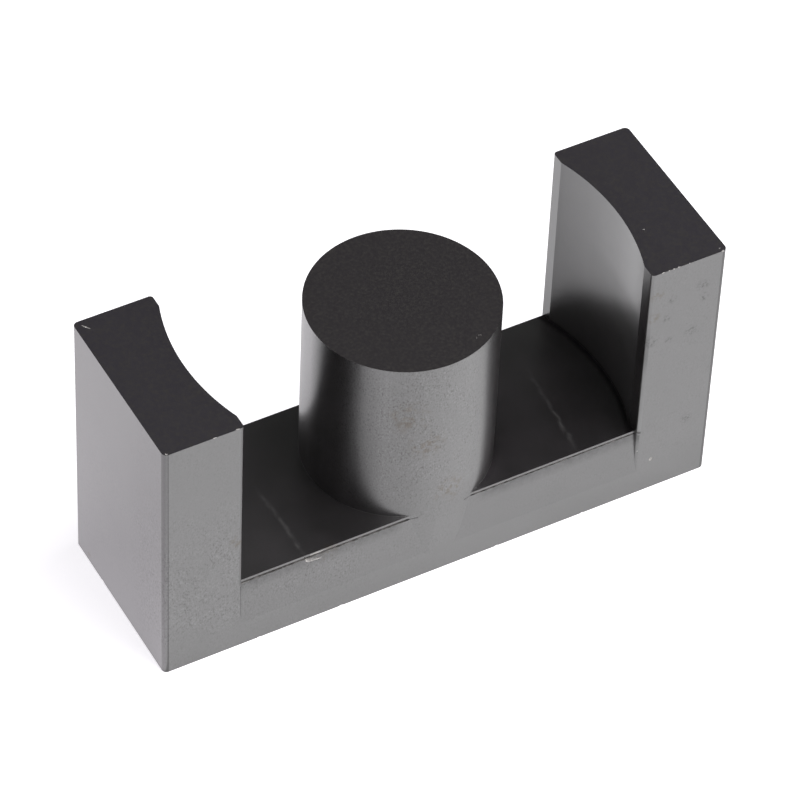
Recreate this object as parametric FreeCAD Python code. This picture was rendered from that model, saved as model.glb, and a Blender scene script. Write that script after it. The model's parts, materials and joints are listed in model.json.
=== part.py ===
import FreeCAD, Part
import math
import os

# Half of a ferrite core pair, sintered in one piece: a back plate that carries two outer legs
# and a round centre post. The post is ground shorter than the legs, to leave an air gap.
# Millimetres. The back face lies on Z = 0 and the legs point up. X runs along the length,
# the front face looks along -Y, and the origin is the centre of the back face.

# Driving sizes
core_length = 34.2         # over the outer faces of the legs
core_depth = 10.85         # front face to back face, and the diameter of the post
leg_height = 17.25         # back face to the pole faces of the legs
plate_thickness = 4.85     # back face to the floor of the winding windows
leg_thickness = 3.93       # of each leg at its middle, where its hollow inner face is deepest
air_gap = 1.05             # from the end of the post up to the level of the pole faces
corner_land = 0.9          # flat at each end of a leg's inner face, measured along Y
outer_corner_radius = 0.3  # vertical edges at the four corners of the core
inner_corner_radius = 0.2  # vertical edges of the legs at the mouths of the windows
floor_setback = 0.34       # of the plate's long edges behind the faces, at floor level
setback_height = 3.1       # over which the setback runs out to nothing, going down
post_foot_draft = 1.0      # degrees, by which the post widens below the floor
root_radius = 0.15         # where the post and the legs rise from the floor

# Places that follow from them
half_length = core_length / 2
half_depth = core_depth / 2
post_radius = half_depth
post_top = leg_height - air_gap
window_radius = half_length - leg_thickness
land_start = half_depth - corner_land
land_x = math.sqrt(window_radius ** 2 - land_start ** 2)


def point(x, y, z=0.0):
    return FreeCAD.Vector(x, y, z)


def corner_middle(centre_x, centre_y, radius, toward_x, toward_y):
    """Middle point of a quarter round whose corner lies toward (+-1, +-1) from its centre."""
    step = radius * math.sqrt(0.5)
    return point(centre_x + toward_x * step, centre_y + toward_y * step)


def back_plate():
    """Bar across the back. Its long edges slope inwards as they rise to the floor."""
    outline = [
        (-half_depth, 0.0),
        (half_depth, 0.0),
        (half_depth, plate_thickness - setback_height),
        (half_depth - floor_setback, plate_thickness),
        (floor_setback - half_depth, plate_thickness),
        (-half_depth, plate_thickness - setback_height),
    ]
    end = half_length - leg_thickness / 2
    section = Part.makePolygon([point(-end, y, z) for y, z in outline + outline[:1]])
    return Part.Face(section).extrude(point(2 * end, 0.0))


def leg():
    """Leg on the +X side. Its inner face is a hollow arc about the post, with a land each side."""
    outer_x = half_length - outer_corner_radius
    outer_y = half_depth - outer_corner_radius
    inner_x = land_x + inner_corner_radius
    inner_y = half_depth - inner_corner_radius
    front_outer = Part.Arc(
        point(outer_x, -half_depth),
        corner_middle(outer_x, -outer_y, outer_corner_radius, 1, -1),
        point(half_length, -outer_y))
    back_outer = Part.Arc(
        point(half_length, outer_y),
        corner_middle(outer_x, outer_y, outer_corner_radius, 1, 1),
        point(outer_x, half_depth))
    back_inner = Part.Arc(
        point(inner_x, half_depth),
        corner_middle(inner_x, inner_y, inner_corner_radius, -1, 1),
        point(land_x, inner_y))
    hollow = Part.Arc(
        point(land_x, land_start),
        point(window_radius, 0.0),
        point(land_x, -land_start))
    front_inner = Part.Arc(
        point(land_x, -inner_y),
        corner_middle(inner_x, -inner_y, inner_corner_radius, -1, -1),
        point(inner_x, -half_depth))
    arcs = [front_outer, back_outer, back_inner, hollow, front_inner]
    edges = []
    for arc, following in zip(arcs, arcs[1:] + arcs[:1]):
        edges.append(arc.toShape())
        edges.append(Part.makeLine(arc.EndPoint, following.StartPoint))
    return Part.Face(Part.Wire(edges)).extrude(point(0.0, 0.0, leg_height))


def centre_post():
    """Round post, tangent to the front and back faces. Its foot shows in the plate's slopes."""
    foot_radius = post_radius + plate_thickness * math.tan(math.radians(post_foot_draft))
    foot = Part.makeCone(foot_radius, post_radius, plate_thickness)
    between_faces = Part.makeBox(
        2 * foot_radius, core_depth, plate_thickness, point(-foot_radius, -half_depth))
    shaft = Part.makeCylinder(post_radius, post_top - plate_thickness, point(0, 0, plate_thickness))
    return foot.common(between_faces).fuse(shaft)


def round_roots(core):
    """Round the inside edges where the post and the legs rise from the floor."""
    nearly = 1e-6
    roots = []
    for face in core.Faces:
        box = face.BoundBox
        if abs(box.ZMin - plate_thickness) < nearly and abs(box.ZMax - plate_thickness) < nearly:
            roots += [edge for edge in face.Edges if edge.BoundBox.YLength > nearly]
    return core.makeFillet(root_radius, roots)


def core_half():
    """The whole piece, fused before its roots are rounded."""
    right_leg = leg()
    left_leg = right_leg.mirror(point(0.0, 0.0), point(1.0, 0.0))
    core = back_plate().fuse([right_leg, left_leg, centre_post()]).removeSplitter()
    return round_roots(core)


os.makedirs("parts", exist_ok=True)
shape = core_half()
shape.exportStep("parts/core_half.step")
print("core_half", "solids", len(shape.Solids), "volume", round(shape.Volume, 2), "mm3")
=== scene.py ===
import json
import math
import bpy
import bmesh
from mathutils import Euler, Matrix, Vector, noise

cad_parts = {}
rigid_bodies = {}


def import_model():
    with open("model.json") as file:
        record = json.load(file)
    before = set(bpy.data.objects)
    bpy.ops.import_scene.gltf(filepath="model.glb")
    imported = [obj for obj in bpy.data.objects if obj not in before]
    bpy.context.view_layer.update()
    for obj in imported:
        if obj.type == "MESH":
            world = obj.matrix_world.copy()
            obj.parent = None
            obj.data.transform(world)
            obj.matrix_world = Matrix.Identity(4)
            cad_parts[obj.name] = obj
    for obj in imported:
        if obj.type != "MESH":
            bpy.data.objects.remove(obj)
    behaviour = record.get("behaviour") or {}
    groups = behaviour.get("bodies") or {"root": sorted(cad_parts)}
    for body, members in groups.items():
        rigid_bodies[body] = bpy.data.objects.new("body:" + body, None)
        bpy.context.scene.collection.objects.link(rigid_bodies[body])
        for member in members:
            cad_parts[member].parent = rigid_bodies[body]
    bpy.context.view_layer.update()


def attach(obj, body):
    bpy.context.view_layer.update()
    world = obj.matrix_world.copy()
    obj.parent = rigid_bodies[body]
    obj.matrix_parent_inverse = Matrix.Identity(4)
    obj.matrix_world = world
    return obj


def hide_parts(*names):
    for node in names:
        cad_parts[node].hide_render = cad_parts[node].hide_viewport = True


for left in list(bpy.data.objects):  # the cube, lamp and camera of a new file
    bpy.data.objects.remove(left)
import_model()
scene = bpy.context.scene
scene.view_settings.view_transform = "Standard"

# The core is modelled in millimetres and scaled to metres once it is whole.
# Its back face lies on z = 0, the legs point up and the front face looks along -y.
millimetre = 0.001
upright = Vector((0, 0, 1))

core = {
    "length": 34.2,
    "depth": 10.85,          # also the diameter of the post
    "legHeight": 17.25,
    "plateHeight": 4.85,
    "legThickness": 3.93,    # where the hollow is deepest
    "postTop": 16.2,
    "land": 0.9,             # flat strip each side of a leg's hollow
    "outerRound": 0.3,
    "innerRound": 0.2,
    "setback": 0.34,         # of the plate's long edges, at the floor
    "setbackHeight": 3.1,
    "footDraft": 1.0,        # degrees
    "rootRound": 0.15,
    "postSegments": 192,
    "hollowSegments": 480,
    "roundSegments": 8,
}
halfLength = core["length"] / 2
halfDepth = core["depth"] / 2
postRadius = halfDepth
hollowRadius = halfLength - core["legThickness"]
landX = math.sqrt(hollowRadius ** 2 - (halfDepth - core["land"]) ** 2)
floorHeight = core["plateHeight"]
floorEdge = halfDepth - core["setback"]
edgeSlope = core["setback"] / core["setbackHeight"]


def newPiece(bm, name):
    mesh = bpy.data.meshes.new(name)
    bm.to_mesh(mesh)
    bm.free()
    piece = bpy.data.objects.new(name, mesh)
    scene.collection.objects.link(piece)
    return piece


def addBlock(bm, low, high):
    verts = bmesh.ops.create_cube(bm, size=1)["verts"]
    low, high = Vector(low), Vector(high)
    bmesh.ops.scale(bm, vec=high - low, verts=verts)
    bmesh.ops.translate(bm, vec=(low + high) / 2, verts=verts)
    return verts


def addRod(bm, start, end, radius, segments, endRadius=None):
    start, end = Vector(start), Vector(end)
    turn = upright.rotation_difference(end - start).to_matrix().to_4x4()
    place = Matrix.Translation((start + end) / 2) @ turn
    return bmesh.ops.create_cone(
        bm, cap_ends=True, segments=segments, radius1=radius,
        radius2=radius if endRadius is None else endRadius,
        depth=(end - start).length, matrix=place)["verts"]


def roundEdges(bm, edges, radius, segments):
    bmesh.ops.bevel(
        bm, geom=edges, offset=radius, segments=segments, affect="EDGES",
        profile=0.5, material=-1, clamp_overlap=True)


def shape(piece, tool, operation):
    change = piece.modifiers.new(operation.lower(), "BOOLEAN")
    change.operation = operation
    change.solver = "MANIFOLD"
    change.object = tool
    shaped = piece.evaluated_get(bpy.context.evaluated_depsgraph_get())
    mesh = bpy.data.meshes.new_from_object(shaped)
    piece.modifiers.clear()
    unshaped, spent = piece.data, tool.data
    piece.data = mesh
    bpy.data.objects.remove(tool)
    bpy.data.meshes.remove(unshaped)
    bpy.data.meshes.remove(spent)


def makePlate():
    bm = bmesh.new()
    end = halfLength - core["legThickness"] / 2
    addBlock(bm, (-end, -halfDepth, 0), (end, halfDepth, floorHeight))
    bmesh.ops.bisect_plane(
        bm, geom=bm.verts[:] + bm.edges[:] + bm.faces[:],
        plane_co=(0, 0, floorHeight - core["setbackHeight"]), plane_no=upright)
    top = [v for v in bm.verts if v.co.z > floorHeight - 0.01]
    bmesh.ops.scale(bm, vec=(1, floorEdge / halfDepth, 1), verts=top)
    return newPiece(bm, "plate")


def makeLegs():
    bm = bmesh.new()
    addBlock(bm, (landX, -halfDepth, 0), (halfLength, halfDepth, core["legHeight"]))
    bmesh.ops.spin(
        bm, geom=bm.faces[:], cent=(0, 0, 0), axis=upright, angle=math.pi, steps=1, use_duplicate=True)
    corners = [e for e in bm.edges if abs(e.verts[0].co.z - e.verts[1].co.z) > 1]
    outer = [e for e in corners if abs(e.verts[0].co.x) > halfLength - 1]
    inner = [e for e in corners if e not in outer]
    roundEdges(bm, outer, core["outerRound"], core["roundSegments"])
    roundEdges(bm, inner, core["innerRound"], core["roundSegments"])
    legs = newPiece(bm, "legs")
    bm = bmesh.new()
    addRod(bm, (0, 0, -1), (0, 0, core["legHeight"] + 1), hollowRadius, core["hollowSegments"])
    shape(legs, newPiece(bm, "hollow"), "DIFFERENCE")
    return legs


def makePost():
    bm = bmesh.new()
    footRadius = postRadius + floorHeight * math.tan(math.radians(core["footDraft"]))
    addRod(bm, (0, 0, 0), (0, 0, floorHeight), footRadius, core["postSegments"], postRadius)
    top = [f for f in bm.faces if f.normal.z > 0.9]
    grown = bmesh.ops.extrude_face_region(bm, geom=top)["geom"]
    bmesh.ops.delete(bm, geom=top, context="FACES")
    grown = [v for v in grown if isinstance(v, bmesh.types.BMVert)]
    bmesh.ops.translate(bm, vec=(0, 0, core["postTop"] - floorHeight), verts=grown)
    for side in (-1, 1):
        bmesh.ops.bisect_plane(
            bm, geom=bm.verts[:] + bm.edges[:] + bm.faces[:], dist=1e-5,
            plane_co=(0, side * halfDepth, 0), plane_no=(0, side, 0), clear_outer=True)
    bmesh.ops.holes_fill(bm, edges=bm.edges[:])
    return newPiece(bm, "post")


def roundRoots(piece):
    bm = bmesh.new()
    bm.from_mesh(piece.data)
    bmesh.ops.remove_doubles(bm, verts=bm.verts[:], dist=1e-4)
    bmesh.ops.dissolve_limit(
        bm, angle_limit=math.radians(0.2), verts=bm.verts[:], edges=bm.edges[:])
    roots = []
    for edge in bm.edges:
        level = all(abs(v.co.z - floorHeight) < 1e-3 for v in edge.verts)
        normals = [face.normal.z for face in edge.link_faces]
        if level and max(normals) > 0.99 and abs(min(normals)) < 0.01:
            roots.append(edge)
    roundEdges(bm, roots, core["rootRound"], 4)
    bm.to_mesh(piece.data)
    bm.free()


crease = {                 # fine groove that the press leaves under each long edge of the floor
    "below": 0.14,         # the floor
    "depth": 0.09,
    "width": 0.24,         # of the cut, which goes out through the edge
    "heightLeft": 0.15,
    "heightRight": 0.10,
    "start": 1.45,         # x where it tapers out in the post
    "startY": 5.21,
    "startHeight": 0.55,   # of its full height
    "full": 2.15,          # x where the taper ends
}


def addGroove(bm, side, end, height):
    top = floorHeight - crease["below"]
    inner = floorEdge + crease["below"] * edgeSlope - crease["depth"]
    outer = inner + crease["width"]
    verts = addBlock(bm, (crease["start"], inner, top - height), (landX, outer, top))
    around = {part for v in verts for part in (v, *v.link_edges, *v.link_faces)}
    middle = bmesh.ops.bisect_plane(
        bm, geom=list(around), plane_co=(crease["full"], 0, 0), plane_no=(1, 0, 0))["geom_cut"]
    middle = [part for part in middle if isinstance(part, bmesh.types.BMVert)]
    tip = [v for v in verts if v.co.x < crease["full"]]
    bmesh.ops.scale(
        bm, vec=(1, 1, crease["startHeight"]), space=Matrix.Translation((0, 0, -top)), verts=tip)
    tip = [v for v in tip if v.co.y < floorEdge]
    bmesh.ops.translate(bm, vec=(0, crease["startY"] - inner, 0), verts=tip)
    bmesh.ops.scale(bm, vec=(end, side, 1), verts=verts + middle)


def makeCreases():
    bm = bmesh.new()
    for side in (-1, 1):
        addGroove(bm, side, -1, crease["heightLeft"])
        addGroove(bm, side, 1, crease["heightRight"])
    bmesh.ops.recalc_face_normals(bm, faces=bm.faces[:])
    return newPiece(bm, "creases")


chips = [                  # middle, half sizes and turn of each small break or pit
    ((-7.62, -5.12, 4.78), (0.80, 0.035, 0.085), (0, 0, 0)),
    ((-8.37, -5.11, 4.65), (0.20, 0.06, 0.045), (0, 66, 0)),
    ((-8.06, -5.13, 4.42), (0.34, 0.15, 0.14), (0, 16, 0)),
    ((-7.68, -5.14, 4.34), (0.34, 0.12, 0.085), (0, 7, 0)),
    ((-16.55, 4.86, 17.25), (0.27, 0.035, 0.03), (0, 0, -55)),
    ((-16.88, -5.33, 17.25), (0.10, 0.05, 0.05), (0, 0, -40)),
    ((-12.76, -5.40, 17.25), (0.12, 0.04, 0.04), (0, 0, 0)),
    ((-14.10, -5.42, 17.25), (0.12, 0.03, 0.03), (0, 0, 0)),
    ((13.05, -5.42, 17.25), (0.09, 0.04, 0.04), (0, 0, 0)),
    ((13.42, -5.42, 17.25), (0.05, 0.03, 0.03), (0, 0, 0)),
    ((13.72, -5.42, 17.25), (0.06, 0.04, 0.03), (0, 0, 0)),
    ((14.02, -5.42, 17.25), (0.09, 0.04, 0.04), (0, 0, 0)),
    ((14.70, -5.42, 17.25), (0.05, 0.03, 0.03), (0, 0, 0)),
    ((16.80, -5.42, 17.25), (0.10, 0.05, 0.05), (0, 0, 0)),
    ((16.74, -5.15, 17.25), (0.04, 0.04, 0.03), (0, 0, 0)),
    ((13.80, -2.05, 17.25), (0.09, 0.022, 0.03), (0, 0, -11)),
    ((-6.20, -5.42, 0.00), (0.13, 0.04, 0.05), (0, 0, 0)),
    ((-11.30, -5.42, 0.00), (0.10, 0.04, 0.04), (0, 0, 0)),
    ((3.60, -5.42, 0.00), (0.15, 0.04, 0.05), (0, 0, 0)),
    ((9.10, -5.42, 0.00), (0.10, 0.04, 0.04), (0, 0, 0)),
    ((-17.10, 2.10, 0.00), (0.04, 0.14, 0.05), (0, 0, 0)),
    ((13.42, -5.43, 2.38), (0.13, 0.05, 0.14), (0, 0, 0)),
    ((12.47, -5.41, 3.42), (0.05, 0.03, 0.05), (0, 0, 0)),
    ((2.20, -4.27, 16.20), (0.10, 0.014, 0.03), (0, 0, 61)),
    ((2.44, -4.17, 16.20), (0.11, 0.010, 0.02), (0, 0, -15)),
]
chipShape = {
    "unevenness": 0.35,    # share of its size
    "lumpScale": 1.6,
    "finishMargin": 1.3,   # times its size, for the faces that count as chipped
    "cutMargin": 1.5,      # the same, for the cut through the face around it
}


def chipTurn(turn):
    return Euler([math.radians(angle) for angle in turn]).to_matrix()


def makeChip(middle, sizes, turn):
    bm = bmesh.new()
    verts = bmesh.ops.create_icosphere(bm, subdivisions=2, radius=1)["verts"]
    for vert in verts:
        lump = noise.noise(vert.co * chipShape["lumpScale"] + Vector(middle) * 7)
        vert.co *= 1 + chipShape["unevenness"] * lump
    bmesh.ops.scale(bm, vec=sizes, verts=verts)
    bmesh.ops.rotate(bm, matrix=chipTurn(turn), verts=verts)
    bmesh.ops.translate(bm, vec=middle, verts=verts)
    return newPiece(bm, "chip")


def chipped(point):
    for middle, sizes, turn in chips:
        away = chipTurn(turn).transposed() @ (point - Vector(middle))
        if Vector([a / b for a, b in zip(away, sizes)]).length < chipShape["finishMargin"]:
            return True
    return False


def splitRoundChips(bm):
    for middle, sizes, turn in chips:  # so that no face runs all the way round a chip
        middle, reach = Vector(middle), chipShape["cutMargin"] * max(sizes)
        near = [
            face for face in bm.faces if len(face.verts) > 6
            and min((vert.co - middle).length for vert in face.verts) < reach]
        across = (1, 0, 0) if sizes[0] > sizes[1] else (0, 1, 0)
        around = {part for face in near for part in (*face.verts, *face.edges, face)}
        bmesh.ops.bisect_plane(bm, geom=list(around), dist=1e-4, plane_co=middle, plane_no=across)


def makeCore():
    piece = makePlate()
    shape(piece, makeLegs(), "UNION")
    shape(piece, makePost(), "UNION")
    roundRoots(piece)
    shape(piece, makeCreases(), "DIFFERENCE")
    for middle, sizes, turn in chips:
        shape(piece, makeChip(middle, sizes, turn), "DIFFERENCE")
    return piece


def finishOf(face):
    # 0 outside skin, 1 ground pole faces, 2 chips, 3 creases, 4 smooth skin in the windows,
    # 5 rounded outer corners with painted shade, 6 side of the post, 7 flat lands at the mouths of the
    # windows
    middle = face.calc_center_median()
    if face.normal.z > 0.999 and middle.z > floorHeight + 1:
        return 1
    top = floorHeight - crease["below"]
    edge = floorEdge + (floorHeight - middle.z) * edgeSlope
    if abs(middle.x) < landX and top - crease["heightLeft"] - 0.02 < middle.z < top + 0.03:
        if floorEdge - 2 * crease["depth"] < abs(middle.y) < edge - 0.01:
            return 3
    if face.smooth and all(chipped(vert.co) for vert in face.verts):
        return 2
    radius = middle.xy.length
    if radius < postRadius + 0.05 and middle.z > floorHeight + core["rootRound"] - 0.01:
        return 6
    land = abs(middle.x) - landX
    if abs(land) < core["innerRound"] and abs(middle.y) > halfDepth - core["land"]:
        if middle.z > floorHeight:
            return 7 if abs(face.normal.z) < 0.1 and abs(face.normal.y) < 0.3 else 4
    if postRadius + 0.05 < radius and abs(middle.y) < floorEdge and abs(middle.x) < landX + 1:
        return 4
    corner = min(abs(middle.x) - halfLength, abs(middle.y) - halfDepth) + core["outerRound"]
    if corner > 0.02 and face.smooth and abs(middle.x) > landX + 1:
        return 5
    return 0


def finishMesh(piece):
    bm = bmesh.new()
    bm.from_mesh(piece.data)
    bmesh.ops.remove_doubles(bm, verts=bm.verts[:], dist=1e-4)
    for level in (floorHeight, floorHeight - core["setbackHeight"]):  # splits the U of each face
        bmesh.ops.bisect_plane(
            bm, geom=bm.verts[:] + bm.edges[:] + bm.faces[:], dist=1e-4,
            plane_co=(0, 0, level), plane_no=upright)
    splitRoundChips(bm)
    slope = Vector((0, core["setbackHeight"], core["setback"])).normalized()
    for face in bm.faces:
        n = face.normal
        straight = max(abs(n.x), abs(n.y), abs(n.z)) > 0.99999
        sloping = abs(abs(n.y) - slope.y) < 1e-4 and abs(n.z - slope.z) < 1e-4
        face.smooth = not (straight or sloping)
        face.material_index = finishOf(face)
    for edge in bm.edges:
        finishes = {face.material_index for face in edge.link_faces}
        edge.smooth = edge.calc_face_angle(0) < math.radians(28) and not finishes & {2, 3}
    for finish in range(8):
        print("finish", finish, "faces", sum(f.material_index == finish for f in bm.faces))
    print(
        "core verts", len(bm.verts), "faces", len(bm.faces), "volume", bm.calc_volume(),
        "open edges", sum(not e.is_manifold for e in bm.edges))
    bmesh.ops.scale(bm, vec=(millimetre,) * 3, verts=bm.verts[:])
    bm.to_mesh(piece.data)
    bm.free()


def addNode(nodes, kind, place, **values):
    node = nodes.new(kind)
    node.location = place
    for name, value in values.items():
        setattr(node, name, value)
    return node


def startMaterial(name, ior, roughness):
    material = bpy.data.materials.new(name)
    material.use_nodes = True
    nodes, links = material.node_tree.nodes, material.node_tree.links
    shader = nodes["Principled BSDF"]
    shader.inputs["IOR"].default_value = ior
    shader.inputs["Roughness"].default_value = roughness
    place = addNode(nodes, "ShaderNodeTexCoord", (-2200, 0))
    size = addNode(nodes, "ShaderNodeMapping", (-2000, 0))  # patterns are sized in millimetres
    size.inputs["Scale"].default_value = (1 / millimetre,) * 3
    links.new(place.outputs["Object"], size.inputs["Vector"])
    return material, nodes, links, shader, size.outputs["Vector"]


def openMaterial(material):
    nodes, links = material.node_tree.nodes, material.node_tree.links
    return nodes, links, nodes["Principled BSDF"], nodes["Mapping"].outputs["Vector"]


def addSplit(nodes, links, vector, place):
    node = addNode(nodes, "ShaderNodeSeparateXYZ", place)
    links.new(vector, node.inputs["Vector"])
    return node


def addNoise(nodes, links, vector, place, scale, detail, roughness=0.5):
    node = addNode(nodes, "ShaderNodeTexNoise", place)
    node.inputs["Scale"].default_value = scale
    node.inputs["Detail"].default_value = detail
    node.inputs["Roughness"].default_value = roughness
    links.new(vector, node.inputs["Vector"])
    return node.outputs["Fac"]


def addRange(nodes, links, value, place, fromLow, fromHigh, toLow=0, toHigh=1):
    node = addNode(nodes, "ShaderNodeMapRange", place)
    node.inputs["From Min"].default_value = fromLow
    node.inputs["From Max"].default_value = fromHigh
    node.inputs["To Min"].default_value = toLow
    node.inputs["To Max"].default_value = toHigh
    links.new(value, node.inputs["Value"])
    return node.outputs["Result"]


def addMath(nodes, links, operation, place, first, second):
    node = addNode(nodes, "ShaderNodeMath", place, operation=operation)
    for socket, value in zip(node.inputs, (first, second)):
        if isinstance(value, (int, float)):
            socket.default_value = value
        else:
            links.new(value, socket)
    return node.outputs["Value"]


def addMix(nodes, links, factor, place, first, second):
    node = addNode(nodes, "ShaderNodeMix", place, data_type="RGBA")
    links.new(factor, node.inputs[0])
    for socket, value in zip((node.inputs[6], node.inputs[7]), (first, second)):
        if isinstance(value, tuple):
            socket.default_value = value
        else:
            links.new(value, socket)
    return node.outputs[2]


def addProduct(nodes, links, place, first, second):
    node = addNode(nodes, "ShaderNodeVectorMath", place, operation="MULTIPLY")
    links.new(first, node.inputs[0])
    links.new(second, node.inputs[1])
    return node.outputs["Vector"]


def addBump(nodes, links, height, place, distance, normal=None):
    node = addNode(nodes, "ShaderNodeBump", place)
    node.inputs["Distance"].default_value = distance * millimetre
    links.new(height, node.inputs["Height"])
    if normal is not None:
        links.new(normal, node.inputs["Normal"])
    return node.outputs["Normal"]


fullGloss = (1, 1, 1, 1)

# A row of four values says from where to where a share changes, and its first and last amount.
skin = {
    "dark": (0.0035, 0.0020, 0.0030, 1),
    "pale": (0.0160, 0.0125, 0.0150, 1),
    "cloudScale": 0.45,      # of the change between the two, per millimetre
    "ior": 3.2,
    "cornerShadeIor": 2.31,       # lower on the rounded outer corners: painted shade
    # The windows and the lands also take lower iors than the outside skin: painted shade.
    "windowIor": 2.75,
    "landIor": 2.6,
    "fineRoughness": 0.29,
    "coarseRoughness": 0.31,
    "postRoughness": 0.34,
    "grainScale": 4.2,
    "grainHeight": 0.003,
    "fineScale": 11.5,
    "fineStretch": 0.6,      # upwards
    "fineHeight": 0.003,
    "pits": (                # place in the fine noise, and gloss there
        (0.28, (0.60, 0.585, 0.58, 1)), (0.46, (0.95, 0.95, 0.95, 1)),
        (0.56, (0.97, 0.97, 0.97, 1)), (0.72, (1.20, 1.20, 1.20, 1))),
    "coarseX": (-0.5, 3.2, 1, 0),      # the grain grows finer to the right
    "coarseY": (-2.8, -1.4, 1, 0),     # and to the back
    "fineShare": 0.28,
    "smoothFoot": (1.3, 2.6, 0.4, 1),  # less grain at the foot of the sides
    "smoothTop": (9.0, 12.5, 1, 0.3),  # and high on the left leg
    "postFoot": (5.0, 8.5, 0.5, 1),    # the same at the foot of the post
    "postWidth": (4.0, 6.5, 1, 0),
    "patchScale": 0.8,
    "patchGrain": (0.38, 0.62, 0.6, 1.25),
    "sideGrain": 0.75,       # share of the grain on the plain sides
    "windowGrain": 0.15,     # and in the windows
    "paintedPostLight": (           # painted light and shade along the post's side: x there, and the gloss
        (-4.80, 0.70), (-4.40, 0.50), (-3.90, 0.62), (-3.30, 0.83), (-1.20, 1.00),
        (2.05, 1.00), (2.72, 1.18), (3.55, 1.45), (4.40, 1.00), (5.00, 0.90)),
    "paintedBackGloss": (1.18, 1.16, 1.18, 1),    # painted light, even round the back
    "backChange": (-0.8, 0.25),            # over these y,
    "backFade": (2.9, 5.0),                # and as the plate's at the back face
    "paintedRightHighlight": (-1.2, 2.8, 0, 0.15),    # a painted highlight, more of it to the right
    "rightRise": (4.9, 6.5),               # above the foot
    "paintedSideTint": (0.99, 0.962, 0.985, 1),  # painted reflection tint, warmer on the left outer side
    "shadeBelowCreases": (3.85, 4.65, 0, 0.36),   # painted shade, less gloss below the creases
    "shadeStart": 0.8,        # beyond the taper of the creases
    "shadeEnd": 0.15,         # beyond the edge of the land
    "shadePatches": (0.3, 0.7, 0.5, 1.1),
    "rust": (0.0230, 0.0170, 0.0125, 1),
    "rustGloss": (0.80, 0.745, 0.69, 1),
    "rustScale": 2.6,
    "rustSpots": [           # middle and radius
        ((-2.2, -4.95, 12.6), 1.5),
        ((-1.2, -5.29, 10.4), 1.3),
        ((0.4, -5.41, 6.3), 1.2),
        ((12.80, -5.42, 15.6), 0.6),
        ((12.72, -5.42, 13.9), 0.5),
        ((-12.5, -5.43, 8.5), 0.8),
        ((-6.9, -5.15, 4.45), 0.7),
        ((-17.1, 3.79, 0.59), 0.25),
    ],
    "smudgeGloss": (0.62, 0.62, 0.62, 1),
    "smudgeScale": 6,
    "smudges": [
        ((13.81, -5.43, 14.88), 0.38),
        ((13.54, -5.43, 13.53), 0.36),
        ((15.70, -5.43, 15.11), 0.50),
        ((15.84, -5.43, 14.19), 0.42),
        ((15.22, -5.43, 11.82), 0.48),
        ((13.83, -5.43, 11.68), 0.36),
        ((12.65, -5.40, 12.10), 0.55),
        ((15.51, -5.43, 4.74), 0.45),
        ((-13.27, -5.43, 4.40), 0.12),
    ],
}


def addSpots(nodes, links, vector, spots, scale, place):
    blotch = addNoise(nodes, links, vector, (-1700, place), scale, 4, 0.6)
    blotch = addRange(nodes, links, blotch, (-1500, place), 0.46, 0.62)
    near = None
    for row, (middle, radius) in enumerate(spots, 1):
        height = place - 200 * row
        away = addNode(nodes, "ShaderNodeVectorMath", (-1700, height), operation="DISTANCE")
        links.new(vector, away.inputs[0])
        away.inputs[1].default_value = middle
        inside = addRange(
            nodes, links, away.outputs["Value"], (-1500, height), 0.3 * radius, radius, 1, 0)
        near = inside if near is None else addMath(
            nodes, links, "MAXIMUM", (-1300, height), near, inside)
    return addMath(nodes, links, "MULTIPLY", (-1100, place), near, blotch)


def grainAmount(nodes, links, split):
    coarse = addRange(nodes, links, split.outputs["X"], (-1500, 1100), *skin["coarseX"])
    front = addRange(nodes, links, split.outputs["Y"], (-1500, 900), *skin["coarseY"])
    coarse = addMath(nodes, links, "MULTIPLY", (-1300, 1000), coarse, front)
    foot = addRange(nodes, links, split.outputs["Z"], (-1500, 700), *skin["smoothFoot"])
    post = addMath(nodes, links, "ABSOLUTE", (-1700, 1500), split.outputs["X"], 0)
    post = addRange(nodes, links, post, (-1500, 1500), *skin["postWidth"])
    postFoot = addRange(nodes, links, split.outputs["Z"], (-1500, 1700), *skin["postFoot"])
    postFoot = addMath(nodes, links, "POWER", (-1300, 1600), postFoot, post)
    top = addRange(nodes, links, split.outputs["Z"], (-1500, 500), *skin["smoothTop"])
    leftLeg = addMath(nodes, links, "LESS_THAN", (-1500, 1300), split.outputs["X"], -landX)
    top = addMath(nodes, links, "POWER", (-1300, 600), top, leftLeg)
    amount = addRange(nodes, links, coarse, (-1100, 1000), 0, 1, skin["fineShare"], 1)
    amount = addMath(nodes, links, "MULTIPLY", (-900, 900), amount, foot)
    amount = addMath(nodes, links, "MULTIPLY", (-800, 900), amount, postFoot)
    return addMath(nodes, links, "MULTIPLY", (-700, 900), amount, top), coarse


def addSteps(nodes, links, value, place, stops):
    node = addNode(nodes, "ShaderNodeValToRGB", place)
    ramp = node.color_ramp.elements
    while len(ramp) < len(stops):
        ramp.new(0.5)
    for stop, (position, colour) in zip(ramp, stops):
        stop.position, stop.color = position, colour
    links.new(value, node.inputs["Fac"])
    return node.outputs["Color"]


def addShares(nodes, links, value, place, low, high, shares):
    value = addRange(nodes, links, value, place, low, high)
    stops = [((at - low) / (high - low), (share, share, share, 1)) for at, share in shares]
    return addSteps(nodes, links, value, (place[0] + 200, place[1]), stops)


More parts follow.
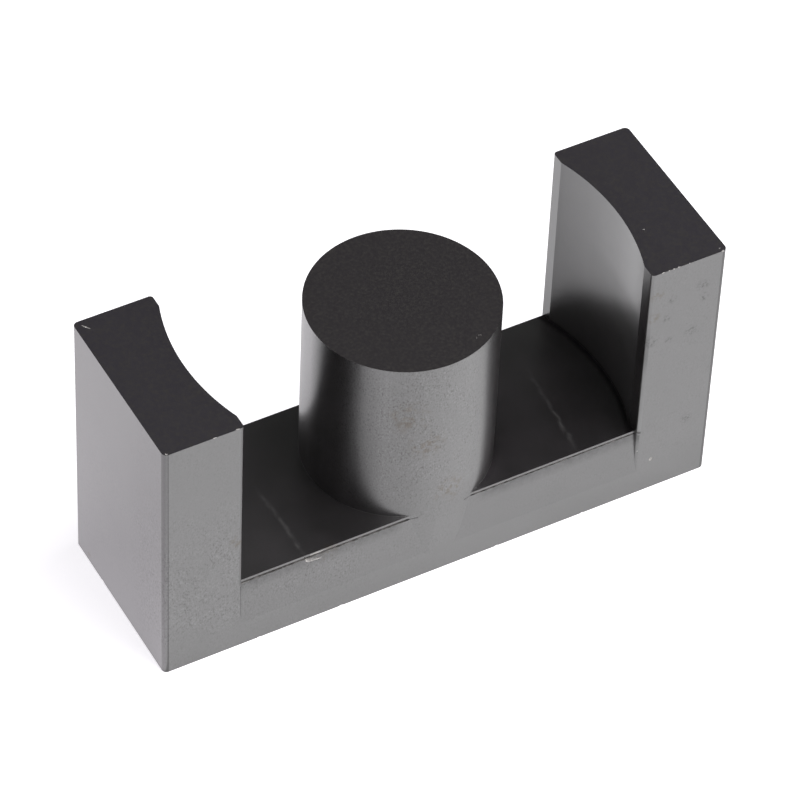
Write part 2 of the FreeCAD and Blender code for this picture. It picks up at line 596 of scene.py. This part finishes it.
def shadeBelowCreases(nodes, links, split, patchy):
    # Painted shade on the slope just below the creases, in patches, from beyond the creases' taper to
    # the lands.
    full = crease["full"]
    x = addMath(nodes, links, "ABSOLUTE", (-1500, 2500), split.outputs["X"], 0)
    beside = addRange(nodes, links, x, (-1300, 2700), full, full + skin["shadeStart"])
    between = addMath(nodes, links, "LESS_THAN", (-1300, 2500), x, landX + skin["shadeEnd"])
    near = addRange(nodes, links, split.outputs["Z"], (-1300, 2100), *skin["shadeBelowCreases"])
    under = addMath(
        nodes, links, "LESS_THAN", (-1300, 2300), split.outputs["Z"], floorHeight - crease["below"])
    shadeAmount = addMath(nodes, links, "MULTIPLY", (-1100, 2600), beside, between)
    shadeAmount = addMath(nodes, links, "MULTIPLY", (-900, 2600), shadeAmount, near)
    shadeAmount = addMath(nodes, links, "MULTIPLY", (-700, 2600), shadeAmount, under)
    shadeAmount = addMath(nodes, links, "MULTIPLY", (-500, 2600), shadeAmount, patchy)
    return addMath(nodes, links, "SUBTRACT", (-300, 2600), 1, shadeAmount)


def paintedPostLight(nodes, links, split):
    # Painted light and shade on the post: darker towards the left window, a painted highlight to the
    # right, brighter round the back.
    share = addShares(
        nodes, links, split.outputs["X"], (-500, 1300), -postRadius, postRadius, skin["paintedPostLight"])
    brighter = addRange(nodes, links, split.outputs["X"], (-500, 1600), *skin["paintedRightHighlight"])
    up = addRange(nodes, links, split.outputs["Z"], (-500, 1900), *skin["rightRise"])
    brighter = addMath(nodes, links, "MULTIPLY", (-300, 1700), brighter, up)
    share = addProduct(
        nodes, links, (-100, 1500), share, addMath(nodes, links, "ADD", (-200, 1700), brighter, 1))
    back = addRange(nodes, links, split.outputs["Y"], (-500, 2200), *skin["backChange"])
    share = addMix(nodes, links, back, (0, 1500), share, skin["paintedBackGloss"])
    farBack = addRange(nodes, links, split.outputs["Y"], (-200, 2200), *skin["backFade"])
    return addMix(nodes, links, farBack, (200, 1500), share, fullGloss)


def sinteredSkin(name, ior, grainShare, roughness, onPost=False):
    material, nodes, links, shader, vector = startMaterial(name, ior, skin["fineRoughness"])
    split = addSplit(nodes, links, vector, (-1700, 900))
    amount, coarse = grainAmount(nodes, links, split)
    amount = addMath(nodes, links, "MULTIPLY", (-500, 900), amount, grainShare)
    patch = addNoise(nodes, links, vector, (-700, 1100), skin["patchScale"], 2)
    patch = addRange(nodes, links, patch, (-500, 1100), *skin["patchGrain"])
    amount = addMath(nodes, links, "MULTIPLY", (-300, 900), amount, patch)
    cloud = addNoise(nodes, links, vector, (-1700, 300), skin["cloudScale"], 3)
    cloud = addRange(nodes, links, cloud, (-1500, 300), 0.3, 0.7)
    grain = addNoise(nodes, links, vector, (-1700, 0), skin["grainScale"], 2)
    upward = addNode(nodes, "ShaderNodeMapping", (-1900, -300))
    upward.inputs["Scale"].default_value = (1, 1, skin["fineStretch"])
    links.new(vector, upward.inputs["Vector"])
    fine = addNoise(nodes, links, upward.outputs["Vector"], (-1700, -300), skin["fineScale"], 2, 0.6)
    rust = addSpots(nodes, links, vector, skin["rustSpots"], skin["rustScale"], -900)
    smudge = addSpots(nodes, links, vector, skin["smudges"], skin["smudgeScale"], -2500)
    colour = addMix(nodes, links, cloud, (-500, 400), skin["dark"], skin["pale"])
    colour = addMix(nodes, links, rust, (-300, 400), colour, skin["rust"])
    links.new(colour, shader.inputs["Base Color"])
    pits = addSteps(nodes, links, fine, (-900, 100), skin["pits"])
    clean = skin["pits"][1][1]
    gloss = addMix(nodes, links, amount, (-300, 200), clean, pits)
    rustGloss = addMix(nodes, links, rust, (-300, 0), fullGloss, skin["rustGloss"])
    smudgeGloss = addMix(nodes, links, smudge, (-300, -200), fullGloss, skin["smudgeGloss"])
    gloss = addProduct(nodes, links, (-100, 200), gloss, rustGloss)
    gloss = addProduct(nodes, links, (100, 200), gloss, smudgeGloss)
    if onPost:
        share = paintedPostLight(nodes, links, split)
    else:
        # Painted shade below the creases, in patches.
        patchy = addRange(nodes, links, grain, (-900, 2200), *skin["shadePatches"])
        share = shadeBelowCreases(nodes, links, split, patchy)
        # A painted tint on the reflection of the left outer side.
        leftSide = addMath(
            nodes, links, "LESS_THAN", (-300, 2200), split.outputs["X"], 0.1 - halfLength)
        warm = addMix(nodes, links, leftSide, (-100, 2200), fullGloss, skin["paintedSideTint"])
        share = addProduct(nodes, links, (100, 2200), warm, share)
    gloss = addProduct(nodes, links, (300, 200), gloss, share)
    links.new(gloss, shader.inputs["Specular Tint"])
    rough = addRange(nodes, links, coarse, (-500, -100), 0, 1, skin["fineRoughness"], roughness)
    links.new(rough, shader.inputs["Roughness"])
    height = addMath(nodes, links, "MULTIPLY", (-700, -500), grain, amount)
    normal = addBump(nodes, links, height, (-500, -500), skin["grainHeight"])
    height = addMath(nodes, links, "MULTIPLY", (-700, -700), fine, amount)
    normal = addBump(nodes, links, height, (-300, -500), skin["fineHeight"], normal)
    links.new(normal, shader.inputs["Normal"])
    return material


def addRadius(nodes, links, split, place):
    level = addNode(nodes, "ShaderNodeCombineXYZ", place)
    links.new(split.outputs["X"], level.inputs["X"])
    links.new(split.outputs["Y"], level.inputs["Y"])
    radius = addNode(
        nodes, "ShaderNodeVectorMath", (place[0] + 200, place[1]), operation="LENGTH")
    links.new(level.outputs["Vector"], radius.inputs[0])
    return radius.outputs["Value"]


paintedHollowLight = {            # painted light and shade in the hollow of a leg: y or height there, and the gloss
    "across": (
        (-4.2, 1.28), (-3.2, 1.23), (-2.4, 1.12), (-1.6, 1.02), (-0.8, 0.95), (0.0, 0.92),
        (1.6, 0.89), (2.6, 0.91), (4.2, 1.01)),
    "upward": (
        (4.9, 1.0), (5.1, 1.1), (9.5, 1.0), (10.8, 0.80), (12.4, 0.82), (13.4, 1.0)),
    "front": (-0.8, 2.2),  # y over which the heights stop mattering
    "floor": (             # the same on the floor, by the distance from the middle: painted shade near the post, painted light further out
        (5.45, 0.42), (5.80, 0.60), (6.70, 0.72), (7.30, 0.77), (8.20, 0.88), (9.00, 0.97),
        (10.00, 1.12), (11.80, 1.35), (12.75, 1.20), (13.02, 0.40)),
}


def addPaintedHollowLight(material):
    nodes, links, shader, vector = openMaterial(material)
    skinGloss = shader.inputs["Specular Tint"].links[0].from_socket
    split = addSplit(nodes, links, vector, (-1700, 4300))
    # Painted light and shade, on the right side only: in the right leg's hollow by y and height, on
    # the right window's floor by the distance from the middle.
    across = addShares(
        nodes, links, split.outputs["Y"], (-1500, 4300), -halfDepth, halfDepth, paintedHollowLight["across"])
    upward = addShares(
        nodes, links, split.outputs["Z"], (-1500, 4600), 0, core["legHeight"], paintedHollowLight["upward"])
    front = addRange(nodes, links, split.outputs["Y"], (-1500, 4900), *paintedHollowLight["front"])
    upward = addMix(nodes, links, front, (-900, 4600), upward, fullGloss)
    share = addProduct(nodes, links, (-700, 4300), across, upward)
    high = addRange(
        nodes, links, split.outputs["Z"], (-900, 5000), floorHeight + 0.05, floorHeight + 0.2)
    right = addMath(nodes, links, "GREATER_THAN", (-900, 5200), split.outputs["X"], 0)
    radius = addRadius(nodes, links, split, (-1500, 5400))
    floorShare = addShares(
        nodes, links, radius, (-1100, 5400), postRadius, hollowRadius, paintedHollowLight["floor"])
    share = addMix(nodes, links, high, (-500, 4300), floorShare, share)
    share = addMix(nodes, links, right, (-300, 4300), fullGloss, share)
    links.new(addProduct(nodes, links, (500, 200), skinGloss, share), shader.inputs["Specular Tint"])


def addOver(nodes, links, shader, amount, place, colour):
    under = shader.inputs["Base Color"].links[0].from_socket
    links.new(addMix(nodes, links, amount, place, under, colour), shader.inputs["Base Color"])


paintedFloorLight = {             # painted light on the floor of the windows: a pale colour that lifts the shade there
    "colour": (0.050, 0.046, 0.048, 1),
    "post": (5.4, 7.6, 0.26, 0),    # by the distance from the middle
    "left": (-7.0, -5.0, 0.13, 0),  # more of it in the left window
    "side": (-1, 3, 1, 0),          # and none round the post in the right one
}


def addPaintedFloorLight(material):
    nodes, links, shader, vector = openMaterial(material)
    # Painted light: a pale colour on the left window's floor, strongest near the post and towards the
    # left leg.
    split = addSplit(nodes, links, vector, (-1700, 3500))
    radius = addRadius(nodes, links, split, (-1500, 3500))
    near = addRange(nodes, links, radius, (-1100, 3500), *paintedFloorLight["post"])
    left = addRange(nodes, links, split.outputs["X"], (-1100, 3200), *paintedFloorLight["left"])
    low = addRange(
        nodes, links, split.outputs["Z"], (-1100, 2900), floorHeight + 0.02, floorHeight + 0.1, 1, 0)
    side = addRange(nodes, links, split.outputs["X"], (-1100, 3800), *paintedFloorLight["side"])
    near = addMath(nodes, links, "MULTIPLY", (-900, 3700), near, side)
    paintedTone = addMath(nodes, links, "ADD", (-900, 3400), near, left)
    paintedTone = addMath(nodes, links, "MULTIPLY", (-700, 3400), paintedTone, low)
    addOver(nodes, links, shader, paintedTone, (-500, 3400), paintedFloorLight["colour"])


hairlines = {              # one scuff across the floor of each window
    "left": (-8.42, -0.016, -5.1, 0.9, 0.19),  # x at y 0, slant, first and last y, half width
    "right": (9.20, 0.088, -5.0, 2.0, 0.15),
    "wave": 0.70,
    "waveScale": 0.8,
    "breakScale": 2.2,
    "breaks": (0.38, 0.60, 0.15, 1),
    "startFade": 0.6,
    "endFade": 1.4,
    "colour": (0.070, 0.066, 0.068, 1),
}


def addHairlines(material):
    nodes, links, shader, vector = openMaterial(material)
    split = addSplit(nodes, links, vector, (-1700, 1500))
    wave = addNoise(nodes, links, vector, (-1700, 1300), hairlines["waveScale"], 3, 0.6)
    half = hairlines["wave"] / 2
    wave = addRange(nodes, links, wave, (-1500, 1300), 0, 1, -half, half)
    broken = addNoise(nodes, links, vector, (-1700, 1700), hairlines["breakScale"], 4, 0.65)
    broken = addRange(nodes, links, broken, (-1500, 1700), *hairlines["breaks"])
    low = addRange(
        nodes, links, split.outputs["Z"], (-1500, 1900), floorHeight + 0.02, floorHeight + 0.2, 1, 0)
    marks = None
    for row, name in enumerate(("left", "right")):
        x, slant, first, last, half = hairlines[name]
        y, place = split.outputs["Y"], 1500 + 500 * row
        across = addMath(nodes, links, "MULTIPLY", (-1500, place), y, slant)
        across = addMath(nodes, links, "ADD", (-1300, place), across, x)
        across = addMath(nodes, links, "SUBTRACT", (-1100, place), split.outputs["X"], across)
        across = addMath(nodes, links, "ADD", (-900, place), across, wave)
        across = addMath(nodes, links, "ABSOLUTE", (-700, place), across, 0)
        mark = addRange(nodes, links, across, (-500, place), 0, half, 1, 0)
        start = addRange(
            nodes, links, y, (-500, place + 200), first, first + hairlines["startFade"])
        end = addRange(nodes, links, y, (-500, place + 400), last, last - hairlines["endFade"])
        mark = addMath(nodes, links, "MULTIPLY", (-300, place), mark, start)
        mark = addMath(nodes, links, "MULTIPLY", (-100, place), mark, end)
        marks = mark if marks is None else addMath(nodes, links, "MAXIMUM", (100, place), marks, mark)
    marks = addMath(nodes, links, "MULTIPLY", (300, 1500), marks, broken)
    marks = addMath(nodes, links, "MULTIPLY", (300, 1700), marks, low)
    addOver(nodes, links, shader, marks, (500, 1500), hairlines["colour"])


groundFace = {
    "post": (0.0120, 0.0082, 0.0110, 1),
    "leg": (0.0198, 0.0160, 0.0240, 1),
    "outward": (5, 15),    # x over which the first turns into the second
    "speck": (0.032, 0.028, 0.026, 1),
    "speckScale": 6.0,
    "ior": 2.3,
    "roughness": (0.32, 0.36),
    "mottleScale": 4.5,
    "grainScale": 7.0,
    "grainHeight": 0.003,
}


def groundFerrite():
    material, nodes, links, shader, vector = startMaterial(
        "groundFerrite", groundFace["ior"], groundFace["roughness"][0])
    split = addSplit(nodes, links, vector, (-1700, 400))
    outward = addMath(nodes, links, "ABSOLUTE", (-1500, 400), split.outputs["X"], 0)
    outward = addRange(nodes, links, outward, (-1300, 400), *groundFace["outward"])
    mottle = addNoise(nodes, links, vector, (-1700, 100), groundFace["mottleScale"], 4, 0.6)
    speck = addNoise(nodes, links, vector, (-1700, -150), groundFace["speckScale"], 2)
    speck = addRange(nodes, links, speck, (-1500, -150), 0.45, 0.75)
    grain = addNoise(nodes, links, vector, (-1700, -400), groundFace["grainScale"], 3)
    colour = addMix(nodes, links, outward, (-1000, 300), groundFace["post"], groundFace["leg"])
    colour = addMix(nodes, links, speck, (-800, 200), colour, groundFace["speck"])
    links.new(colour, shader.inputs["Base Color"])
    gloss = addRange(nodes, links, mottle, (-800, -50), 0.3, 0.7, *groundFace["roughness"])
    links.new(gloss, shader.inputs["Roughness"])
    normal = addBump(nodes, links, grain, (-600, -400), groundFace["grainHeight"])
    links.new(normal, shader.inputs["Normal"])
    return material


chipSurface = {
    "colour": (0.74, 0.72, 0.71, 1),
    "shade": (0.44, 0.42, 0.41, 1),
    "ior": 1.5,
    "roughness": 0.7,
    "grainScale": 12.0,
    "grainHeight": 0.01,
}


def chippedFerrite():
    material, nodes, links, shader, vector = startMaterial(
        "chippedFerrite", chipSurface["ior"], chipSurface["roughness"])
    grain = addNoise(nodes, links, vector, (-1700, 0), chipSurface["grainScale"], 3)
    tone = addRange(nodes, links, grain, (-1400, 200), 0.35, 0.65)
    links.new(
        addMix(nodes, links, tone, (-1000, 200), chipSurface["shade"], chipSurface["colour"]),
        shader.inputs["Base Color"])
    normal = addBump(nodes, links, grain, (-700, -200), chipSurface["grainHeight"])
    links.new(normal, shader.inputs["Normal"])
    return material


# Painted shade in the creases: a rough, hardly glossy grey in place of the glossy skin, so that they
# read as a dark line from every side.
creaseSurface = {
    "colour": (0.31, 0.295, 0.29, 1),
    "shade": (0.10, 0.094, 0.090, 1),
    "ior": 1.4,
    "roughness": 0.85,
    "creaseToneScale": 3.0,
}


def shadedCrease():
    material, nodes, links, shader, vector = startMaterial(
        "shadedCrease", creaseSurface["ior"], creaseSurface["roughness"])
    paintedTone = addNoise(nodes, links, vector, (-1700, 0), creaseSurface["creaseToneScale"], 3)
    paintedTone = addRange(nodes, links, paintedTone, (-1400, 0), 0.35, 0.65)
    links.new(
        addMix(nodes, links, paintedTone, (-1000, 0), creaseSurface["shade"], creaseSurface["colour"]),
        shader.inputs["Base Color"])
    return material


studio = {
    "floorSize": 3.0,
    "floorDrop": 0.00002,    # just clear of the core
    "floorColour": (0.86, 0.86, 0.86, 1),
    "floorRoughness": 0.35,
    "glowColour": (1.0, 0.98, 1.02, 1),
    "glow": 0.80,            # of the floor to the camera; the next three are painted light on the floor, seen only in reflections
    "front": (-0.0085, -0.0055, 0.27, 0.15),  # from before the core, less close to it: painted shade by the core
    "back": (0.002, 0.013, 0, 0.52),          # more of it behind the core
    "left": (-0.0175, -0.0245, 1.06, 0.62),   # and to its left, more close to the core: painted light that cancels the core's shadow there
    "horizon": 1.0,
    "overhead": 0.055,
    "whiteBelow": 5,         # degrees above the horizon
    "darkAbove": 20,
    "lamps": [               # direction from the core, distance, side and strength of each softbox
        ("rightSoftbox", (0.33, -0.32, 0.89), 0.9, 0.7, 7.6),
    ],
}


def makeFloor():
    bm = bmesh.new()
    bmesh.ops.create_grid(bm, x_segments=1, y_segments=1, size=studio["floorSize"] / 2)
    bmesh.ops.translate(bm, vec=(0, 0, -studio["floorDrop"]), verts=bm.verts[:])
    floor = newPiece(bm, "studio_floor")
    material = bpy.data.materials.new("paleFloor")
    material.use_nodes = True
    nodes, links = material.node_tree.nodes, material.node_tree.links
    shader = nodes["Principled BSDF"]
    shader.inputs["Base Color"].default_value = studio["floorColour"]
    shader.inputs["Roughness"].default_value = studio["floorRoughness"]
    shader.inputs["Emission Color"].default_value = studio["glowColour"]
    rays = addNode(nodes, "ShaderNodeLightPath", (-1300, -100))
    place = addNode(nodes, "ShaderNodeTexCoord", (-1500, -400))
    split = addSplit(nodes, links, place.outputs["Object"], (-1300, -400))
    # Painted light on the floor for reflected rays only: dimmer just before the core, brighter behind
    # it, and brighter close to its left side.
    front = addRange(nodes, links, split.outputs["Y"], (-1100, -200), *studio["front"])
    back = addRange(nodes, links, split.outputs["Y"], (-1100, -400), *studio["back"])
    left = addRange(nodes, links, split.outputs["X"], (-1100, -700), *studio["left"])
    beside = addMath(
        nodes, links, "LESS_THAN", (-1100, -900), split.outputs["X"], -halfLength * millimetre)
    mirrored = addNode(nodes, "ShaderNodeMix", (-900, -500), data_type="FLOAT")
    links.new(beside, mirrored.inputs[0])
    links.new(addMath(nodes, links, "ADD", (-1000, -300), front, back), mirrored.inputs[2])
    links.new(left, mirrored.inputs[3])
    other = addMath(
        nodes, links, "MAXIMUM", (-900, -200), rays.outputs["Is Glossy Ray"],
        rays.outputs["Is Transmission Ray"])
    mirrored = addMath(nodes, links, "MULTIPLY", (-700, -400), mirrored.outputs[0], other)
    seen = addMath(
        nodes, links, "MULTIPLY", (-700, -100), rays.outputs["Is Camera Ray"], studio["glow"])
    links.new(
        addMath(nodes, links, "ADD", (-500, -300), seen, mirrored), shader.inputs["Emission Strength"])
    floor.data.materials.append(material)


def makeSurround():
    world = bpy.data.worlds.new("studioSurround")
    scene.world = world
    world.use_nodes = True
    nodes, links = world.node_tree.nodes, world.node_tree.links
    background = nodes["Background"]
    direction = addNode(nodes, "ShaderNodeTexCoord", (-1000, 0))
    split = addNode(nodes, "ShaderNodeSeparateXYZ", (-800, 0))
    fade = addNode(nodes, "ShaderNodeMapRange", (-600, 0), interpolation_type="SMOOTHSTEP")
    fade.inputs["From Min"].default_value = math.sin(math.radians(studio["whiteBelow"]))
    fade.inputs["From Max"].default_value = math.sin(math.radians(studio["darkAbove"]))
    fade.inputs["To Min"].default_value = studio["horizon"]
    fade.inputs["To Max"].default_value = studio["overhead"]
    rays = addNode(nodes, "ShaderNodeLightPath", (-600, 300))
    seen = addNode(nodes, "ShaderNodeMath", (-300, 100), operation="MAXIMUM")
    links.new(direction.outputs["Generated"], split.inputs["Vector"])
    links.new(split.outputs["Z"], fade.inputs["Value"])
    links.new(fade.outputs["Result"], seen.inputs[0])
    links.new(rays.outputs["Is Camera Ray"], seen.inputs[1])
    links.new(seen.outputs["Value"], background.inputs["Strength"])
    background.inputs["Color"].default_value = (1, 1, 1, 1)


def makeLamps():
    for name, direction, distance, side, strength in studio["lamps"]:
        light = bpy.data.lights.new(name, "AREA")
        light.shape = "SQUARE"
        light.size = side
        light.energy = strength
        lamp = bpy.data.objects.new(name, light)
        lamp.location = Vector(direction).normalized() * distance
        lamp.rotation_euler = Vector(direction).to_track_quat("Z", "Y").to_euler()
        scene.collection.objects.link(lamp)


photoView = {
    "target": (0.289, 0.271, 8.0),   # millimetres
    "azimuth": -120.4771,            # degrees round from +x
    "elevation": 46.2846,
    "roll": 2.7143,
    "distance": 275.43,
    "lens": 225.1,
}


def makeCamera():
    azimuth, elevation = math.radians(photoView["azimuth"]), math.radians(photoView["elevation"])
    toCamera = Vector((
        math.cos(elevation) * math.cos(azimuth), math.cos(elevation) * math.sin(azimuth),
        math.sin(elevation)))
    lens = bpy.data.cameras.new("photoCamera")
    lens.sensor_width = 36
    lens.lens = photoView["lens"]
    lens.clip_start = 0.01
    lens.clip_end = 20
    camera = bpy.data.objects.new("photoCamera", lens)
    turn = toCamera.to_track_quat("Z", "Y").to_matrix() @ Matrix.Rotation(
        math.radians(photoView["roll"]), 3, "Z")
    camera.rotation_euler = turn.to_euler()
    camera.location = (Vector(photoView["target"]) + toCamera * photoView["distance"]) * millimetre
    scene.collection.objects.link(camera)
    scene.camera = camera
    print("camera ready")


makeCamera()
makeSurround()
makeLamps()
makeFloor()
print("studio ready")

ferriteCore = makeCore()
ferriteCore.name = "ferrite_core"
ferriteCore.data.materials.clear()  # of the empty slot that the cuts leave
finishMesh(ferriteCore)
coarse = skin["coarseRoughness"]
windowSkin = sinteredSkin("windowSkin", skin["windowIor"], skin["windowGrain"], coarse)
addPaintedHollowLight(windowSkin)
addPaintedFloorLight(windowSkin)
addHairlines(windowSkin)
# Copies of the skin with lower iors paint shade on the windows, the rounded outer corners and the
# lands.
for material in (
        sinteredSkin("sinteredSkin", skin["ior"], skin["sideGrain"], coarse), groundFerrite(),
        chippedFerrite(), shadedCrease(), windowSkin,
        sinteredSkin("shadedCornerSkin", skin["cornerShadeIor"], 1, coarse),
        sinteredSkin("postSkin", skin["ior"], 1, skin["postRoughness"], onPost=True),
        sinteredSkin("landSkin", skin["landIor"], skin["windowGrain"], coarse)):
    ferriteCore.data.materials.append(material)
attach(ferriteCore, "root")
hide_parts("core_half")
print("core finished")
